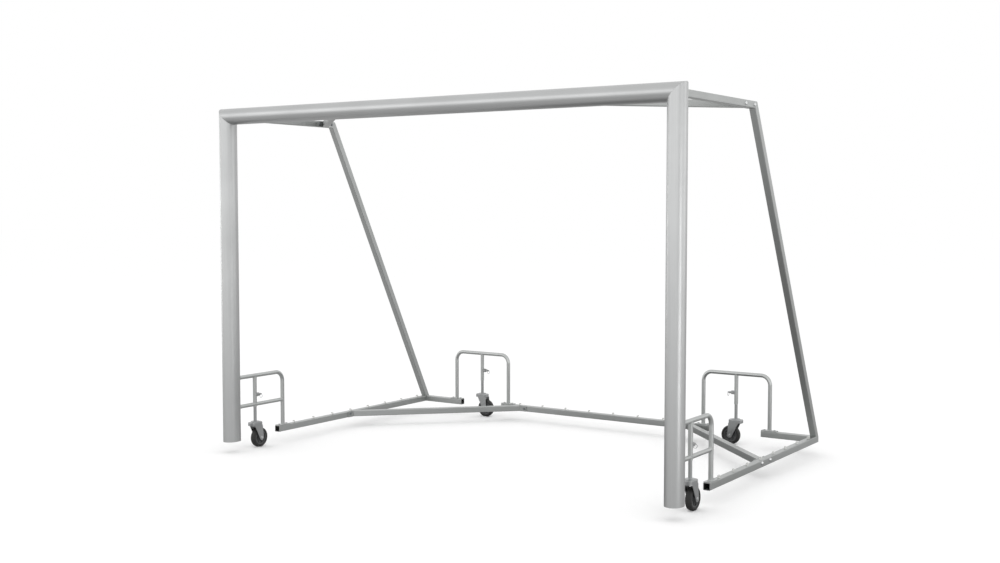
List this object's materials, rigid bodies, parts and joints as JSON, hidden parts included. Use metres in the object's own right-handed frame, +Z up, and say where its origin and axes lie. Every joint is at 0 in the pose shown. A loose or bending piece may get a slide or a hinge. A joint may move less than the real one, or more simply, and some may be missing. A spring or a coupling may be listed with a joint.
{
  "type": "portable soccer goal",
  "caption": "Freestanding soccer goal frame of oval and square aluminium tube on height-adjustable swivel casters, with sloping rear stays and a braced floor frame.",
  "frame": {"origin": "on the ground under the middle of the goal's bounding box, with the goal standing on its casters", "axes": "+Z up, the mouth faces -Y, +X to the right as seen by a player who faces the mouth"},
  "size_m": [3.2, 2.1125, 2.171],
  "materials": {
    "satin_aluminium": "satin anodised",
    "zinc_plated_steel": "bright zinc plated",
    "black_rubber": "matt black rubber",
    "grey_polyamide": "moulded dark grey plastic"
  },
  "bodies": {
    "frame": {"crossbar": "satin_aluminium", "middle_rear_bar": "satin_aluminium", "left_post": "satin_aluminium", "left_top_arm": "satin_aluminium", "left_rear_stay": "satin_aluminium", "left_side_runner": "satin_aluminium", "left_rear_stub": "satin_aluminium", "left_top_brace": "satin_aluminium", "left_floor_brace": "satin_aluminium", "right_post": "satin_aluminium", "right_top_arm": "satin_aluminium", "right_rear_stay": "satin_aluminium", "right_side_runner": "satin_aluminium", "right_rear_stub": "satin_aluminium", "right_top_brace": "satin_aluminium", "right_floor_brace": "satin_aluminium", "front_left_bracket": "satin_aluminium", "front_left_plunger_body": "zinc_plated_steel", "front_left_plunger_spring": "zinc_plated_steel", "front_right_bracket": "satin_aluminium", "front_right_plunger_body": "zinc_plated_steel", "front_right_plunger_spring": "zinc_plated_steel", "rear_left_bracket": "satin_aluminium", "rear_left_plunger_body": "zinc_plated_steel", "rear_left_plunger_spring": "zinc_plated_steel", "rear_right_bracket": "satin_aluminium", "rear_right_plunger_body": "zinc_plated_steel", "rear_right_plunger_spring": "zinc_plated_steel"},
    "front_left_stem": {"front_left_caster_stem": "zinc_plated_steel"},
    "front_left_fork": {"front_left_caster_fork": "zinc_plated_steel", "front_left_caster_axle": "zinc_plated_steel"},
    "front_left_wheel": {"front_left_wheel_hub": "grey_polyamide", "front_left_wheel_tyre": "black_rubber"},
    "front_left_pin": {"front_left_plunger_pin": "zinc_plated_steel"},
    "front_left_ring": {"front_left_pull_ring": "zinc_plated_steel"},
    "front_right_stem": {"front_right_caster_stem": "zinc_plated_steel"},
    "front_right_fork": {"front_right_caster_fork": "zinc_plated_steel", "front_right_caster_axle": "zinc_plated_steel"},
    "front_right_wheel": {"front_right_wheel_hub": "grey_polyamide", "front_right_wheel_tyre": "black_rubber"},
    "front_right_pin": {"front_right_plunger_pin": "zinc_plated_steel"},
    "front_right_ring": {"front_right_pull_ring": "zinc_plated_steel"},
    "rear_left_stem": {"rear_left_caster_stem": "zinc_plated_steel"},
    "rear_left_fork": {"rear_left_caster_fork": "zinc_plated_steel", "rear_left_caster_axle": "zinc_plated_steel"},
    "rear_left_wheel": {"rear_left_wheel_hub": "grey_polyamide", "rear_left_wheel_tyre": "black_rubber"},
    "rear_left_pin": {"rear_left_plunger_pin": "zinc_plated_steel"},
    "rear_left_ring": {"rear_left_pull_ring": "zinc_plated_steel"},
    "rear_right_stem": {"rear_right_caster_stem": "zinc_plated_steel"},
    "rear_right_fork": {"rear_right_caster_fork": "zinc_plated_steel", "rear_right_caster_axle": "zinc_plated_steel"},
    "rear_right_wheel": {"rear_right_wheel_hub": "grey_polyamide", "rear_right_wheel_tyre": "black_rubber"},
    "rear_right_pin": {"rear_right_plunger_pin": "zinc_plated_steel"},
    "rear_right_ring": {"rear_right_pull_ring": "zinc_plated_steel"}
  },
  "joints": [
    {"name": "front_left_height", "type": "slide", "parent": "frame", "child": "front_left_stem", "axis": [0, 0, 1], "range_m": [0, 0.072]},
    {"name": "front_left_swivel", "type": "hinge", "parent": "front_left_stem", "child": "front_left_fork", "pos_m": [-1.5425, -0.79825, 0.167], "axis": [0, 0, 1], "continuous": true},
    {"name": "front_left_wheel_spin", "type": "hinge", "parent": "front_left_fork", "child": "front_left_wheel", "pos_m": [-1.5425, -0.76425, 0.0625], "axis": [1, 0, 0], "continuous": true},
    {"name": "front_left_plunger_pull", "type": "slide", "parent": "frame", "child": "front_left_pin", "axis": [0, 1, 0], "range_m": [0, 0.0075], "stiffness_N_per_m": 3000, "springref_m": -0.004, "deforming": ["front_left_plunger_spring"]},
    {"name": "front_left_ring_swing", "type": "hinge", "parent": "front_left_pin", "child": "front_left_ring", "pos_m": [-1.5425, -0.74275, 0.343], "axis": [1, 0, 0], "range_deg": [-20, 110]},
    {"name": "front_right_height", "type": "slide", "parent": "frame", "child": "front_right_stem", "axis": [0, 0, 1], "range_m": [0, 0.072]},
    {"name": "front_right_swivel", "type": "hinge", "parent": "front_right_stem", "child": "front_right_fork", "pos_m": [1.5425, -0.79825, 0.167], "axis": [0, 0, 1], "continuous": true},
    {"name": "front_right_wheel_spin", "type": "hinge", "parent": "front_right_fork", "child": "front_right_wheel", "pos_m": [1.5425, -0.76425, 0.0625], "axis": [1, 0, 0], "continuous": true},
    {"name": "front_right_plunger_pull", "type": "slide", "parent": "frame", "child": "front_right_pin", "axis": [0, 1, 0], "range_m": [0, 0.0075], "stiffness_N_per_m": 3000, "springref_m": -0.004, "deforming": ["front_right_plunger_spring"]},
    {"name": "front_right_ring_swing", "type": "hinge", "parent": "front_right_pin", "child": "front_right_ring", "pos_m": [1.5425, -0.74275, 0.343], "axis": [1, 0, 0], "range_deg": [-20, 110]},
    {"name": "rear_left_height", "type": "slide", "parent": "frame", "child": "rear_left_stem", "axis": [0, 0, 1], "range_m": [0, 0.072]},
    {"name": "rear_left_swivel", "type": "hinge", "parent": "rear_left_stem", "child": "rear_left_fork", "pos_m": [-1.0115, 1.02625, 0.167], "axis": [0, 0, 1], "continuous": true},
    {"name": "rear_left_wheel_spin", "type": "hinge", "parent": "rear_left_fork", "child": "rear_left_wheel", "pos_m": [-0.9775, 1.02625, 0.0625], "axis": [0, 1, 0], "continuous": true},
    {"name": "rear_left_plunger_pull", "type": "slide", "parent": "frame", "child": "rear_left_pin", "axis": [1, 0, 0], "range_m": [0, 0.0075], "stiffness_N_per_m": 3000, "springref_m": -0.004, "deforming": ["rear_left_plunger_spring"]},
    {"name": "rear_left_ring_swing", "type": "hinge", "parent": "rear_left_pin", "child": "rear_left_ring", "pos_m": [-0.956, 1.02625, 0.343], "axis": [0, -1, 0], "range_deg": [-20, 110]},
    {"name": "rear_right_height", "type": "slide", "parent": "frame", "child": "rear_right_stem", "axis": [0, 0, 1], "range_m": [0, 0.072]},
    {"name": "rear_right_swivel", "type": "hinge", "parent": "rear_right_stem", "child": "rear_right_fork", "pos_m": [1.0115, 1.02625, 0.167], "axis": [0, 0, 1], "continuous": true},
    {"name": "rear_right_wheel_spin", "type": "hinge", "parent": "rear_right_fork", "child": "rear_right_wheel", "pos_m": [0.9775, 1.02625, 0.0625], "axis": [0, 1, 0], "continuous": true},
    {"name": "rear_right_plunger_pull", "type": "slide", "parent": "frame", "child": "rear_right_pin", "axis": [-1, 0, 0], "range_m": [0, 0.0075], "stiffness_N_per_m": 3000, "springref_m": -0.004, "deforming": ["rear_right_plunger_spring"]},
    {"name": "rear_right_ring_swing", "type": "hinge", "parent": "rear_right_pin", "child": "rear_right_ring", "pos_m": [0.956, 1.02625, 0.343], "axis": [0, 1, 0], "range_deg": [-20, 110]}
  ]
}
